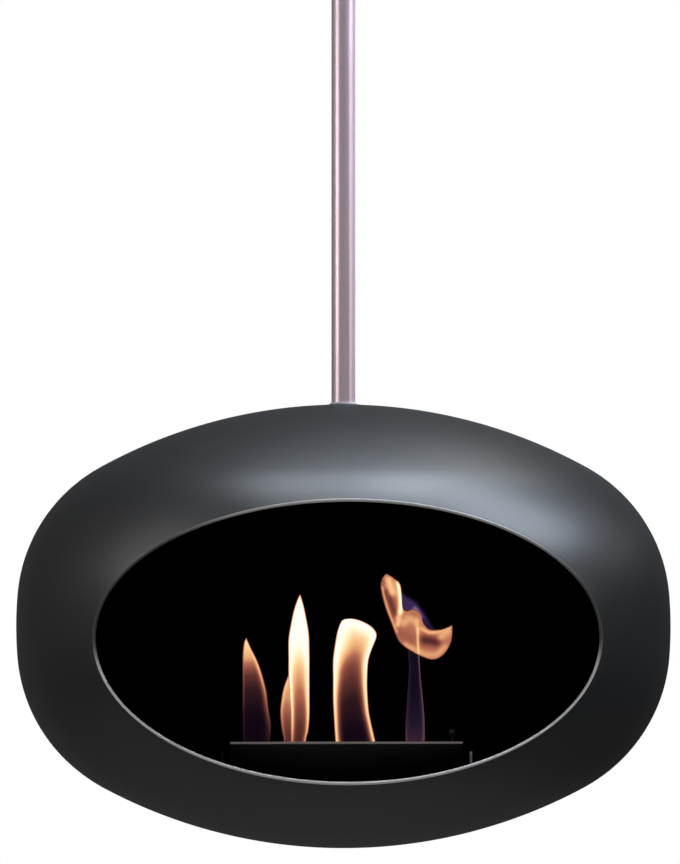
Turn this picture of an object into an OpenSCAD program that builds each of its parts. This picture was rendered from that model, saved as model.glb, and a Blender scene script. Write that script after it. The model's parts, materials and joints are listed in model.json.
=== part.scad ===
// Hanging fireplace: a squeezed-ball steel fire bowl that turns at the foot of a ceiling pole.
// Millimetres. The origin is the centre of the ceiling face, +Z is up and the mouth faces -Y.

/* [Ceiling fitting] */
// Diameter of the steel plate that is screwed to the ceiling
plate_d = 100; // [90:1:104]
// Thickness of the ceiling plate
plate_t = 5; // [4:0.5:8]
// Pitch circle of the ceiling screws
screw_pcd = 76; // [64:1:80]
// Diameter of each ceiling screw hole
screw_hole_d = 6.5; // [5:0.1:8]
// Length of the spigot that goes up inside the pole
spigot_len = 40; // [34:1:60]
// Depth of the cross bolt below the ceiling plate
cross_bolt_drop = 25; // [18:1:28]
// Shank diameter of the cross bolt
cross_bolt_d = 6; // [5:1:8]
// Outside diameter of the canopy that hides the plate
canopy_d = 116; // [112:1:140]
// Height of the canopy
canopy_h = 50; // [46:1:70]
// Sheet thickness of the canopy
canopy_t = 1.2; // [0.8:0.1:2]
// Corner radius at the foot of the canopy
canopy_corner = 12; // [6:1:20]
// Outside diameter of the collar that holds the canopy up
collar_d = 34; // [32:1:44]
// Height of the collar
collar_h = 10; // [8:1:16]
// Thread diameter of the grub screw in the collar
grub_d = 5; // [4:1:6]

/* [Pole] */
// Outside diameter of the pole
pole_d = 21.3; // [20.5:0.1:24]
// Wall thickness of the pole
pole_t = 2; // [1.5:0.1:2.5]
// Length of the pole
pole_len = 800; // [500:1:1800]
// Length of the plug in the foot of the pole
foot_len = 30; // [26:1:50]

/* [Body shell] */
// Width of the body over its belly
body_w = 580; // [570:1:600]
// Height of the body from crown to bottom
body_h = 391.5; // [386:0.5:400]
// Radius of the shallow crown and bottom arcs
crown_r = 446.5; // [430:0.5:460]
// Radius of the tight shoulder arcs
shoulder_r = 141; // [135:1:148]
// Radius of the upright belly arc
belly_r = 354; // [340:1:370]
// Thickness of the steel sheet
wall = 2.5; // [2:0.1:4]

/* [Mouth] */
// Width of the mouth, seen square on
mouth_w = 418; // [380:1:430]
// Height of the mouth, seen square on
mouth_h = 229; // [200:1:240]

/* [Swivel] */
// Thickness of the bright washer between pole and crown
top_washer_t = 1.5; // [1:0.1:3]
// Diameter of that washer
top_washer_d = 24; // [22:0.5:27]
// Diameter of the hub boss that comes up through the crown
boss_d = 30; // [28:0.5:36]
// Diameter of the hub flange under the crown
flange_d = 84; // [80:1:110]
// Depth of the flange's lower face below the crown
flange_drop = 11; // [10:0.5:14]
// Depth of the bearing seat below the crown
seat_drop = 17; // [16:0.5:22]
// Outside diameter of the hub round the bearing
seat_d = 36; // [32:0.5:44]
// Depth of the recess that centres the upper race
seat_recess = 2; // [1:0.1:2.5]
// Diameter of the shoulder of the swivel bolt
shoulder_bolt_d = 12; // [11:0.1:12.5]
// Thread diameter of the swivel bolt
thread_d = 10; // [8:1:10]
// Wall thickness of the bronze bush
bush_t = 2; // [1.5:0.1:2.5]
// Outside diameter of the thrust bearing
race_d = 26; // [26:0.1:28]
// Thickness of each bearing race
race_t = 2.9; // [2.6:0.1:3]
// Height of the whole thrust bearing
bearing_h = 9; // [8.8:0.1:9.4]
// Diameter of a bearing ball
ball_d = 4.76; // [4.5:0.01:5]
// Number of bearing balls
ball_n = 10; // [6:1:11]
// Thickness of the ball cage
cage_t = 2; // [1.5:0.1:2.2]
// Width of the cage outside and inside its ball holes
cage_rim = 0.7; // [0.5:0.05:0.8]
// Thickness of the washer under the lower race
load_washer_t = 2.5; // [2:0.1:4]
// Size of the bolt head across its flats
bolt_head_af = 19; // [18:0.5:22]
// Height of the bolt head
bolt_head_h = 8; // [6:0.5:10]

/* [Heat shield] */
// Diameter of the heat shield
shield_d = 150; // [130:1:180]
// Sheet thickness of the heat shield
shield_t = 1.5; // [1:0.1:2]
// Height of the shield's turned-down rim
shield_rim = 9; // [6:0.5:14]
// Depth of the shield below the crown
shield_drop = 48; // [44:1:56]
// Pitch circle of the shield's spacers
spacer_pcd = 64; // [60:1:68]
// Diameter of a spacer
spacer_d = 10; // [9:0.5:12]
// Thread diameter of the shield screws
shield_screw_d = 5; // [4:1:5]

/* [Burner] */
// Width of the burner case
case_w = 194; // [170:1:196]
// Depth of the burner case, front to back
case_depth = 96; // [90:1:104]
// Height of the burner case
case_h = 48; // [44:1:52]
// Sheet thickness of the burner case
case_t = 1.5; // [1:0.1:2]
// Distance of the case front from the pole's axis
case_front = 137; // [130:1:140]
// Thickness of the burner's top plate
top_t = 1.2; // [1:0.1:2]
// Length of the flame slot
slot_w = 172; // [120:1:173]
// Width of the flame slot
slot_d = 24; // [16:1:26]
// Distance of the flame slot behind the case front
slot_back = 13; // [10:1:14]
// Depth of the rim turned down round the flame slot
slot_rim = 6; // [4:0.5:8]
// Thickness of the ceramic fibre block
fibre_h = 32; // [24:1:34]
// Thickness of the perforated sheet on the fibre
mesh_t = 1; // [0.8:0.1:1.5]
// Diameter of the holes in that sheet
mesh_hole_d = 5; // [4:0.1:6]
// Distance between those holes, as a multiple of their diameter
mesh_pitch = 1.6; // [1.4:0.1:2]
// Height of the plain front plate
fascia_h = 58; // [54:0.5:60]
// Height of the front plate's foot over the burner's seat
fascia_lift = 1; // [0.5:0.5:3]
// Thickness of the front plate
fascia_t = 2; // [1.5:0.1:3]
// Overhang of the front plate past each side of the case
fascia_over = 1; // [0:0.5:2]
// Air gap between the front plate and the case
fascia_gap = 3; // [2:0.5:4]
// Diameter of the studs that carry the front plate
stud_d = 8; // [6:0.5:12]

/* [Lid] */
// Sheet thickness of the sliding lid
lid_t = 1.2; // [1:0.1:1.5]
// Overlap of the closed lid past the slot, front and back
lid_lap = 4; // [3:0.5:6]
// Height of the lid's turned-down ends
lid_end = 10; // [6:0.5:14]
// Diameter of the ball knob on the lid
knob_d = 9; // [8:0.5:10]
// Height of the knob over the lid
knob_h = 15; // [13:0.5:18]
// Diameter of the knob's stem
knob_stem_d = 4; // [3:0.5:5]

/* [Cradle] */
// Depth of the burner's seat below the middle of the body
seat_depth = 150; // [146:0.5:152]
// Sheet thickness of the cradle
cradle_t = 2; // [1.5:0.1:2.5]
// Width of the cradle between its cheeks
cradle_w = 207; // [205:0.5:212]
// Height of the cheeks over the burner's seat
cheek_h = 57; // [50:0.5:60]
// Length of the cheeks, front to back
cheek_len = 114; // [114:1:122]
// Corner radius of the cheeks
cheek_corner = 8; // [4:1:16]
// Height of the lips in front of and behind the burner
lip_h = 8; // [5:0.5:12]

/* [Clearances] */
// Radial clearance of the bolt in its bush and of the balls in their grooves
run_gap = 0.05; // [0.02:0.01:0.1]
// Radial clearance of plugs, spigots, bosses and screw threads in their holes
fit_gap = 0.1; // [0.05:0.01:0.2]
// Clearance of loose parts that slide or hang on others
loose_gap = 0.3; // [0.2:0.05:0.5]
// Clearance of the burner in front of and behind its cradle
burner_gap = 2.5; // [1:0.1:3]

/* [Hidden] */

$fn = 96;
// Extra length that a cutter runs past the face it cuts, and that joined solids run into each other
over = 1;
// Sizes of a screw for each millimetre of its thread: its head or nut across the flats, the height
// of its head, the height of a nut, and the width of the socket in a grub screw
head_af = 1.65;
head_h = 0.67;
nut_h = 0.83;
socket_af = 0.5;
// Share of the foot plug that the swivel bolt's thread fills
thread_share = 0.75;

// Heights along the pole's axis, from the ceiling down
pole_top_z = -plate_t;
pole_end_z = pole_top_z - pole_len;
crown_z = pole_end_z - top_washer_t;
body_z = crown_z - body_h / 2;
canopy_foot_z = -canopy_h;
cross_bolt_z = pole_top_z - cross_bolt_drop;

// Arc centres of the shell's outline, in a half plane with the body's middle at 0, 0
crown_cz = body_h / 2 - crown_r;
belly_cx = body_w / 2 - belly_r;
centre_gap = norm([belly_cx, crown_cz]);
to_crown = crown_r - shoulder_r;
to_belly = belly_r - shoulder_r;
along = (to_crown * to_crown - to_belly * to_belly + centre_gap * centre_gap) / (2 * centre_gap);
aside = sqrt(to_crown * to_crown - along * along);
line_x = belly_cx / centre_gap;
line_z = -crown_cz / centre_gap;
shoulder_cx = along * line_x + aside * line_z;
shoulder_cz = crown_cz + along * line_z - aside * line_x;
// Unit directions from the crown's and the belly's arc centre to the shoulder's
crown_dir = [shoulder_cx, shoulder_cz - crown_cz] / to_crown;
belly_dir = [shoulder_cx - belly_cx, shoulder_cz] / to_belly;

// Heights of the swivel's faces
seat_z = crown_z - seat_drop;
upper_race_z = seat_z - race_t;
lower_race_z = seat_z - bearing_h;
bolt_head_z = lower_race_z - load_washer_t;
ball_z = seat_z - bearing_h / 2;
flange_z = crown_z - flange_drop;
shield_z = crown_z - shield_drop;
bush_d = shoulder_bolt_d + 2 * (run_gap + bush_t);
ball_r = ball_d / 2;
pitch_r = (race_d + shoulder_bolt_d) / 4;

// Faces of the burner, in the whole model's frame
rest_z = body_z - seat_depth;
case_top_z = rest_z + case_h;
top_z = case_top_z + top_t;
case_y = -case_front;
case_back_y = case_y + case_depth;
fascia_back_y = case_y - fascia_gap;
fascia_front_y = fascia_back_y - fascia_t;
slot_front_y = case_y + slot_back;
slot_rear_y = slot_front_y + slot_d;
fibre_top_z = rest_z + case_t + loose_gap + fibre_h;
mesh_z = fibre_top_z + loose_gap;
// The open lid lies one lap behind the slot, and closes by the slot's width and two laps
lid_depth = slot_d + 2 * lid_lap;
lid_front_y = slot_rear_y + lid_lap;
lid_z = top_z + loose_gap;
lid_inner_w = case_w + 2 * loose_gap;
knob_x = lid_inner_w / 2 - knob_stem_d;
knob_y = lid_front_y + lid_depth / 2;
floor_front_y = fascia_front_y - burner_gap - cradle_t;
floor_back_y = case_back_y + burner_gap + cradle_t;
cheek_mid_y = (floor_front_y + floor_back_y) / 2;

// Radius of the body's surface at height z, measured inset mm inside its outer skin
function body_r(z, inset) =
    let (h = abs(z),
         crown_join = shoulder_cz + (shoulder_r - inset) * crown_dir[1],
         belly_join = shoulder_cz + (shoulder_r - inset) * belly_dir[1])
    h > crown_join ? sqrt(pow(crown_r - inset, 2) - pow(h - crown_cz, 2)) :
    h > belly_join ? shoulder_cx + sqrt(pow(shoulder_r - inset, 2) - pow(h - shoulder_cz, 2)) :
    belly_cx + sqrt(pow(belly_r - inset, 2) - h * h);

// Outward normal of the outer skin at height z, as radial and upward parts
function body_normal(z) =
    let (h = abs(z), r = body_r(z, 0),
         c = h > shoulder_cz + shoulder_r * crown_dir[1] ? [0, crown_cz] :
             h > shoulder_cz + shoulder_r * belly_dir[1] ? [shoulder_cx, shoulder_cz] : [belly_cx, 0],
         n = [r - c[0], h - c[1]] / norm([r - c[0], h - c[1]]))
    [n[0], z < 0 ? -n[1] : n[1]];

// Point at angle a of the mouth's edge, moved out along the skin's normal
function mouth_point(a, out) =
    let (x = mouth_w / 2 * cos(a), z = mouth_h / 2 * sin(a), r = body_r(z, 0),
         y = -sqrt(r * r - x * x), n = body_normal(z))
    [x, y, z] + out * [n[0] * x / r, n[0] * y / r, n[1]];

module at_body() translate([0, 0, body_z]) children();

module ring(outer_d, inner_d, z, h) {
    translate([0, 0, z])
        difference() {
            cylinder(d = outer_d, h = h);
            translate([0, 0, -over])
                cylinder(d = inner_d, h = h + 2 * over);
        }
}

module hex(af, h) cylinder(d = af / cos(30), h = h, $fn = 6);

// Box from its low corner to its high corner
module span(low, high) translate(low) cube(high - low);

module around(n, pcd, first = 0) {
    for (i = [0 : n - 1])
        rotate(first + i * 360 / n)
            translate([pcd / 2, 0, 0])
                children();
}

// ---- Ceiling fitting and pole ----

module ceiling_plate() {
    color("silver")
        difference() {
            union() {
                translate([0, 0, -plate_t])
                    cylinder(d = plate_d, h = plate_t);
                translate([0, 0, pole_top_z - spigot_len])
                    cylinder(d = pole_d - 2 * (pole_t + fit_gap), h = spigot_len + over);
            }
            around(4, screw_pcd, 45)
                translate([0, 0, -plate_t - over])
                    cylinder(d = screw_hole_d, h = plate_t + 2 * over);
            cross_hole();
        }
}

module cross_hole() {
    translate([0, 0, cross_bolt_z])
        rotate([0, 90, 0])
            cylinder(d = cross_bolt_d + 2 * fit_gap, h = pole_d + 2 * over, center = true);
}

// Half section of the canopy's cup, inset mm inside its outside and that much over its open top
module canopy_outline(inset) {
    r = canopy_d / 2 - inset;
    corner = canopy_corner - inset;
    h = canopy_h - inset;
    translate([0, -h])
        union() {
            square([r - corner, h + inset]);
            translate([0, corner])
                square([r, h + inset - corner]);
            translate([r - corner, corner])
                circle(corner);
        }
}

module canopy() {
    color("lightgrey")
        difference() {
            rotate_extrude()
                difference() {
                    canopy_outline(0);
                    canopy_outline(canopy_t);
                }
            translate([0, 0, canopy_foot_z - over])
                cylinder(d = pole_d + 2 * loose_gap, h = canopy_h);
        }
}

module canopy_collar() {
    color("lightgrey")
        difference() {
            ring(collar_d, pole_d + 2 * fit_gap, canopy_foot_z - collar_h, collar_h);
            grub(0, collar_d);
        }
}

module grub(gap, length) {
    translate([0, pole_d / 2 + fit_gap, canopy_foot_z - collar_h / 2])
        rotate([-90, 0, 0])
            cylinder(d = grub_d - 2 * gap, h = length);
}

module collar_screw() {
    length = (collar_d - pole_d) / 2 - fit_gap;
    color("dimgrey")
        difference() {
            grub(run_gap, length);
            translate([0, collar_d / 2 - length / 2, canopy_foot_z - collar_h / 2])
                rotate([-90, 0, 0])
                    hex(grub_d * socket_af, length);
        }
}

module pole() {
    color("rosybrown")
        difference() {
            ring(pole_d, pole_d - 2 * pole_t, pole_end_z, pole_len);
            cross_hole();
        }
}

module pole_bolt() {
    color("grey")
        translate([-pole_d / 2 - cross_bolt_d, 0, cross_bolt_z])
            rotate([0, 90, 0]) {
                cylinder(d = cross_bolt_d, h = pole_d + cross_bolt_d + over);
                translate([0, 0, pole_d + cross_bolt_d])
                    hex(cross_bolt_d * head_af, cross_bolt_d * head_h);
            }
}

module pole_nut() {
    color("grey")
        translate([-pole_d / 2, 0, cross_bolt_z])
            rotate([0, -90, 0])
                difference() {
                    hex(cross_bolt_d * head_af, cross_bolt_d * nut_h);
                    translate([0, 0, -over])
                        cylinder(d = cross_bolt_d + 2 * run_gap, h = cross_bolt_d * nut_h + 2 * over);
                }
}

module pole_foot() {
    color("silver")
        ring(pole_d - 2 * (pole_t + fit_gap), thread_d + 2 * fit_gap, pole_end_z, foot_len);
}

// ---- Swivel ----

module swivel_bolt() {
    color("grey") {
        translate([0, 0, bolt_head_z])
            cylinder(d = shoulder_bolt_d, h = pole_end_z - bolt_head_z);
        translate([0, 0, pole_end_z - over])
            cylinder(d = thread_d, h = foot_len * thread_share + over);
        translate([0, 0, bolt_head_z - bolt_head_h])
            hex(bolt_head_af, bolt_head_h);
    }
}

module top_washer() {
    color("white")
        ring(top_washer_d, shoulder_bolt_d + 2 * fit_gap, crown_z, top_washer_t);
}

module load_washer() {
    color("silver")
        ring(race_d, shoulder_bolt_d + 2 * fit_gap, bolt_head_z, load_washer_t);
}

// Race with its lower face at z, grooved for the balls
module race(z, inner_d) {
    difference() {
        ring(race_d, inner_d, z, race_t);
        translate([0, 0, ball_z])
            rotate_extrude()
                translate([pitch_r, 0])
                    circle(ball_r + run_gap);
    }
}

module lower_race() {
    color("lightsteelblue")
        race(lower_race_z, shoulder_bolt_d + 2 * run_gap);
}

module upper_race() {
    color("lightsteelblue")
        race(upper_race_z, shoulder_bolt_d + 2 * loose_gap);
}

module bearing_balls() {
    color("gainsboro")
        around(ball_n, 2 * pitch_r)
            translate([0, 0, ball_z])
                sphere(ball_r);
}

module bearing_cage() {
    cage_w = ball_d + 2 * (fit_gap + cage_rim);
    color("goldenrod")
        difference() {
            ring(2 * pitch_r + cage_w, 2 * pitch_r - cage_w, ball_z - cage_t / 2, cage_t);
            around(ball_n, 2 * pitch_r)
                translate([0, 0, ball_z - cage_t])
                    cylinder(r = ball_r + fit_gap, h = 2 * cage_t);
        }
}

module crown_hub() {
    color("dimgrey")
        difference() {
            rotate_extrude()
                difference() {
                    union() {
                        // the flange's top is domed to the inside of the crown
                        intersection() {
                            translate([0, crown_z - crown_r])
                                circle(crown_r - wall, $fn = 360);
                            translate([0, flange_z])
                                square([flange_d / 2, flange_drop]);
                        }
                        translate([0, flange_z])
                            square([boss_d / 2 - fit_gap, flange_drop]);
                        translate([0, seat_z - seat_recess])
                            square([seat_d / 2, seat_drop + seat_recess - flange_drop + over]);
                    }
                    translate([0, seat_z - seat_recess - over])
                        square([bush_d / 2, seat_drop + seat_recess + 2 * over]);
                    translate([0, seat_z - seat_recess - over])
                        square([race_d / 2 + run_gap, seat_recess + over]);
                }
            around(3, spacer_pcd, 90)
                translate([0, 0, flange_z - over])
                    cylinder(d = shield_screw_d + 2 * fit_gap, h = shield_screw_d + over);
        }
}

module hub_bush() {
    color("peru")
        ring(bush_d, shoulder_bolt_d + 2 * run_gap, seat_z, seat_drop - loose_gap);
}

// ---- Body ----

// Quarter of the body's section, inset mm inside its outer skin. The shoulder disc stands blend mm
// proud, so that the arcs cross at a point and don't just graze each other. Each wedge that cuts an
// arc out of its circle reaches past the circle.
module quarter_outline(inset) {
    blend = 0.01;
    reach = 1.2;
    centre = [shoulder_cx, shoulder_cz];
    crown_foot = [-crown_cz * crown_dir[0] / crown_dir[1], 0];
    crown_far = [0, crown_cz] + reach * crown_r * crown_dir;
    belly_far = [belly_cx, 0] + reach * belly_r * belly_dir;
    intersection() {
        translate([0, crown_cz])
            circle(crown_r - inset);
        polygon([[0, 0], crown_foot, crown_far, [crown_far[0], body_h], [0, body_h]]);
    }
    translate(centre)
        circle(shoulder_r + blend - inset);
    intersection() {
        translate([belly_cx, 0])
            circle(belly_r - inset);
        polygon([centre, belly_far, [belly_far[0], -belly_far[1]], [centre[0], -belly_far[1]]]);
    }
}

// Sheet of one half of the body, turned round the axis from the rim at the belly to the crown
module half_sheet() {
    rotate_extrude($fn = 240)
        intersection() {
            difference() {
                quarter_outline(0, $fn = 360);
                quarter_outline(wall, $fn = 360);
            }
            square([body_w, body_h]);
        }
}

// Plug that cuts the mouth square to the sheet: an ellipse seen from the front, whose sides
// follow the skin's normals from outside the shell to inside it, closed by a blunt cone to a tip
// ahead of the skin and one to a tip behind it
module mouth_plug() {
    sides = 144;
    out = 2 * wall;
    ahead = body_w * 0.7;
    behind = body_w * 0.25;
    tips = [[0, -ahead, 0], [0, -behind, 0]];
    angles = [for (i = [0 : sides - 1]) i * 360 / sides];
    outer = [for (a = angles) mouth_point(a, out)];
    inner = [for (a = angles) mouth_point(a, -wall - out)];
    front = [for (i = [0 : sides - 1]) [2 * sides, (i + 1) % sides, i]];
    back = [for (i = [0 : sides - 1]) [2 * sides + 1, sides + i, sides + (i + 1) % sides]];
    band = [for (i = [0 : sides - 1]) let (j = (i + 1) % sides)
        each [[i, sides + j, sides + i], [i, j, sides + j]]];
    polyhedron(points = concat(outer, inner, tips), faces = concat(front, back, band));
}

module shell_upper() {
    color("#2b2d31")
        at_body()
            difference() {
                half_sheet();
                mouth_plug();
                cylinder(d = boss_d, h = body_h);
            }
}

module shell_lower() {
    color("#2b2d31")
        at_body()
            difference() {
                mirror([0, 0, 1])
                    half_sheet();
                mouth_plug();
            }
}

module heat_shield() {
    r = shield_d / 2;
    color("#26272a")
        translate([0, 0, shield_z])
            difference() {
                rotate_extrude()
                    difference() {
                        shield_outline(r, 0);
                        shield_outline(r, shield_t);
                    }
                around(3, spacer_pcd, 90)
                    translate([0, 0, -shield_t - over])
                        cylinder(d = shield_screw_d + 2 * loose_gap, h = shield_t + 2 * over);
            }
}

// Half section of a shallow pan turned upside down, inset mm inside its outside
module shield_outline(r, inset) {
    corner = 2 * shield_t;
    low = -shield_rim - (inset > 0 ? over : 0);
    union() {
        translate([0, low])
            square([r - inset, -low - corner]);
        translate([0, -corner - over])
            square([r - corner, corner + over - inset]);
        translate([r - corner, -corner])
            circle(corner - inset);
    }
}

module shield_spacers() {
    color("silver")
        around(3, spacer_pcd, 90)
            ring(spacer_d, shield_screw_d + 2 * loose_gap, shield_z, flange_z - shield_z);
}

// Screws up through the shield and its spacers, each as deep in the hub as its hole less a gap
module shield_screws() {
    head_z = shield_z - shield_t;
    color("grey")
        around(3, spacer_pcd, 90)
            translate([0, 0, head_z]) {
                cylinder(d = shield_screw_d, h = flange_z + shield_screw_d - loose_gap - head_z);
                rotate([180, 0, 0])
                    hex(shield_screw_d * head_af, shield_screw_d * head_h);
            }
}

// ---- Cradle ----

// One cheek: an upright sheet with rounded top corners, cut below to the inside of the shell
module cheek(x) {
    top = rest_z + cheek_h;
    color("#2b2c2e")
        intersection() {
            translate([x, cheek_mid_y, 0])
                rotate([90, 0, 90])
                    linear_extrude(cradle_t)
                        union() {
                            translate([-cheek_len / 2, body_z - body_h / 2])
                                square([cheek_len, body_h / 2 - seat_depth + cheek_h - cheek_corner]);
                            translate([-cheek_len / 2 + cheek_corner, body_z - body_h / 2])
                                square([cheek_len - 2 * cheek_corner, body_h / 2 - seat_depth + cheek_h]);
                            for (side = [-1, 1])
                                translate([side * (cheek_len / 2 - cheek_corner), top - cheek_corner])
                                    circle(cheek_corner);
                        }
            translate([0, 0, body_z - crown_cz])
                sphere(crown_r - wall, $fn = 240);
        }
}

module cradle_left() cheek(-cradle_w / 2 - cradle_t);

module cradle_right() cheek(cradle_w / 2);

module cradle_floor() {
    color("#2b2c2e") {
        span([-cradle_w / 2, floor_front_y, rest_z - cradle_t], [cradle_w / 2, floor_back_y, rest_z]);
        for (y = [floor_front_y, floor_back_y - cradle_t])
            span([-cradle_w / 2, y, rest_z - over], [cradle_w / 2, y + cradle_t, rest_z + lip_h]);
    }
}

// ---- Burner ----

module burner_case() {
    color("silver")
        difference() {
            span([-case_w / 2, case_y, rest_z], [case_w / 2, case_back_y, case_top_z]);
            span([-case_w / 2 + case_t, case_y + case_t, rest_z + case_t],
                [case_w / 2 - case_t, case_back_y - case_t, case_top_z + over]);
        }
}

module burner_top() {
    color("silver")
        difference() {
            union() {
                span([-case_w / 2, case_y, case_top_z], [case_w / 2, case_back_y, top_z]);
                span([-slot_w / 2 - top_t, slot_front_y - top_t, top_z - slot_rim],
                    [slot_w / 2 + top_t, slot_rear_y + top_t, top_z]);
            }
            span([-slot_w / 2, slot_front_y, top_z - slot_rim - over],
                [slot_w / 2, slot_rear_y, top_z + over]);
        }
}

module ceramic_fibre() {
    inset = case_t + loose_gap;
    color("ivory")
        span([-case_w / 2 + inset, case_y + inset, fibre_top_z - fibre_h],
            [case_w / 2 - inset, case_back_y - inset, fibre_top_z]);
}

module fibre_mesh() {
    inset = case_t + loose_gap;
    pitch = mesh_pitch * mesh_hole_d;
    columns = floor(slot_w / pitch);
    rows = floor(slot_d / pitch);
    first_x = -(columns - 1) / 2 * pitch;
    first_y = (slot_front_y + slot_rear_y) / 2 - (rows - 1) / 2 * pitch;
    color("darkgrey")
        difference() {
            span([-case_w / 2 + inset, case_y + inset, mesh_z],
                [case_w / 2 - inset, case_back_y - inset, mesh_z + mesh_t]);
            for (i = [0 : columns - 1], j = [0 : rows - 1])
                translate([first_x + i * pitch, first_y + j * pitch, mesh_z - over])
                    cylinder(d = mesh_hole_d, h = mesh_t + 2 * over);
        }
}

module fascia() {
    color("#1b1b1c")
        span([-case_w / 2 - fascia_over, fascia_front_y, rest_z + fascia_lift],
            [case_w / 2 + fascia_over, fascia_back_y, rest_z + fascia_lift + fascia_h]);
}

module fascia_studs() {
    color("silver")
        for (x = [-case_w / 3, case_w / 3], z = [case_h / 4, case_h * 3 / 4])
            translate([x, case_y, rest_z + z])
                rotate([90, 0, 0])
                    cylinder(d = stud_d, h = fascia_gap);
}

// ---- Lid ----

module lid() {
    half = lid_inner_w / 2;
    back = lid_front_y + lid_depth;
    color("silver")
        difference() {
            union() {
                span([-half - lid_t, lid_front_y, lid_z], [half + lid_t, back, lid_z + lid_t]);
                span([-half - lid_t, lid_front_y, lid_z + lid_t - lid_end], [-half, back, lid_z + lid_t]);
                span([half, lid_front_y, lid_z + lid_t - lid_end], [half + lid_t, back, lid_z + lid_t]);
            }
            translate([knob_x, knob_y, lid_z - over])
                cylinder(d = knob_stem_d + 2 * run_gap, h = lid_t + 2 * over);
        }
}

module lid_knob() {
    color("#303234")
        translate([knob_x, knob_y, lid_z])
            rotate_extrude() {
                square([knob_stem_d / 2, lid_t + knob_h - knob_d / 2]);
                translate([0, lid_t])
                    square([knob_stem_d, lid_t]);
                intersection() {
                    translate([0, lid_t + knob_h - knob_d / 2])
                        circle(d = knob_d);
                    square([knob_d, lid_t + knob_h]);
                }
            }
}

ceiling_plate();
canopy();
canopy_collar();
collar_screw();
pole();
pole_bolt();
pole_nut();
pole_foot();
swivel_bolt();
top_washer();
load_washer();
lower_race();
bearing_cage();
bearing_balls();
shell_upper();
shell_lower();
crown_hub();
hub_bush();
upper_race();
heat_shield();
shield_spacers();
shield_screws();
cradle_left();
cradle_right();
cradle_floor();
burner_case();
burner_top();
ceramic_fibre();
fibre_mesh();
fascia();
fascia_studs();
lid();
lid_knob();
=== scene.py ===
# %% [markdown]
# # A hanging fireplace
#
# A squeezed ball of black powder-coated steel hangs from a brushed stainless pole. Flames stand in a
# slot burner behind its oval mouth. The packed model already holds every solid part in metres, with
# the middle of the ceiling plate at the origin, Z up and the mouth facing -Y. This lesson dresses it:
# it puts finer surfaces over the parts that show most, and gives every part a finish.

# %% Load the packed model
import json
import math

import bmesh
import bpy
import numpy as np
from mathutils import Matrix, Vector


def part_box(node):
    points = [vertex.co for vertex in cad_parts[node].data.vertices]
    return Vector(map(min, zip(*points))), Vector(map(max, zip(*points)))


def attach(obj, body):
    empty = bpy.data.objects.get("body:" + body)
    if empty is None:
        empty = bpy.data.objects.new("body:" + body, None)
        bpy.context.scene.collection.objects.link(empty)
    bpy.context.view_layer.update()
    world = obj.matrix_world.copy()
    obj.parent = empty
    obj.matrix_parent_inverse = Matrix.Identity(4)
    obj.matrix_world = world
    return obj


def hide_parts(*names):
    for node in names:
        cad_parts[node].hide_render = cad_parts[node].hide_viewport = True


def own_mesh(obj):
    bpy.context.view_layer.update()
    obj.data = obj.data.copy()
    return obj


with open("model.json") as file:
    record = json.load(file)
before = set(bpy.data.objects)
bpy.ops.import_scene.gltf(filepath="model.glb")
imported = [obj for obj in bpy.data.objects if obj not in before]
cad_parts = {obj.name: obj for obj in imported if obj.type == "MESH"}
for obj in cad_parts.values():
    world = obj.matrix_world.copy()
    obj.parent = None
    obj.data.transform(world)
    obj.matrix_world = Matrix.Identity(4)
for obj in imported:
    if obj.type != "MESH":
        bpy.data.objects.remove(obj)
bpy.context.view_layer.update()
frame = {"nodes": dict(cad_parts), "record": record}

# %% [markdown]
# ## Sizes
#
# Whatever the packed model can tell is read from it, so that the looks follow the solids. The radii
# of the body's three arcs and the size of its mouth can't be read from a box, so they are written
# again here, as the real sizes that the steel was shaped to.

# %% The body's sizes
lower_low, lower_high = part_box("shell_lower")
body_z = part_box("shell_upper")[0].z
body_w = lower_high.x - lower_low.x
body_h = 2 * (body_z - lower_low.z)
crown_r, shoulder_r, belly_r = 0.4465, 0.141, 0.354
sheet = 0.0025
mouth_w, mouth_h = 0.418, 0.229
boss_r = 0.015
print(f"body {body_w:.4f} x {body_h:.4f} m, its middle at z {body_z:.4f} m")

# %% [markdown]
# ## Surfaces from numpy
#
# Blender has ready-made spheres and tubes, but a formula over a grid gives every vertex its exact
# place, and can be evaluated for the whole surface in one go. The helper below takes such a grid of
# points and joins neighbours into quads. A grid can wrap round in one direction or in both.


# %% A grid of points becomes a mesh
def wrapped(count, wrap):
    """Index of each cell's near and far edge along one direction of a grid."""
    near = np.arange(count if wrap else count - 1)
    return near, (near + 1) % count


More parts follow.
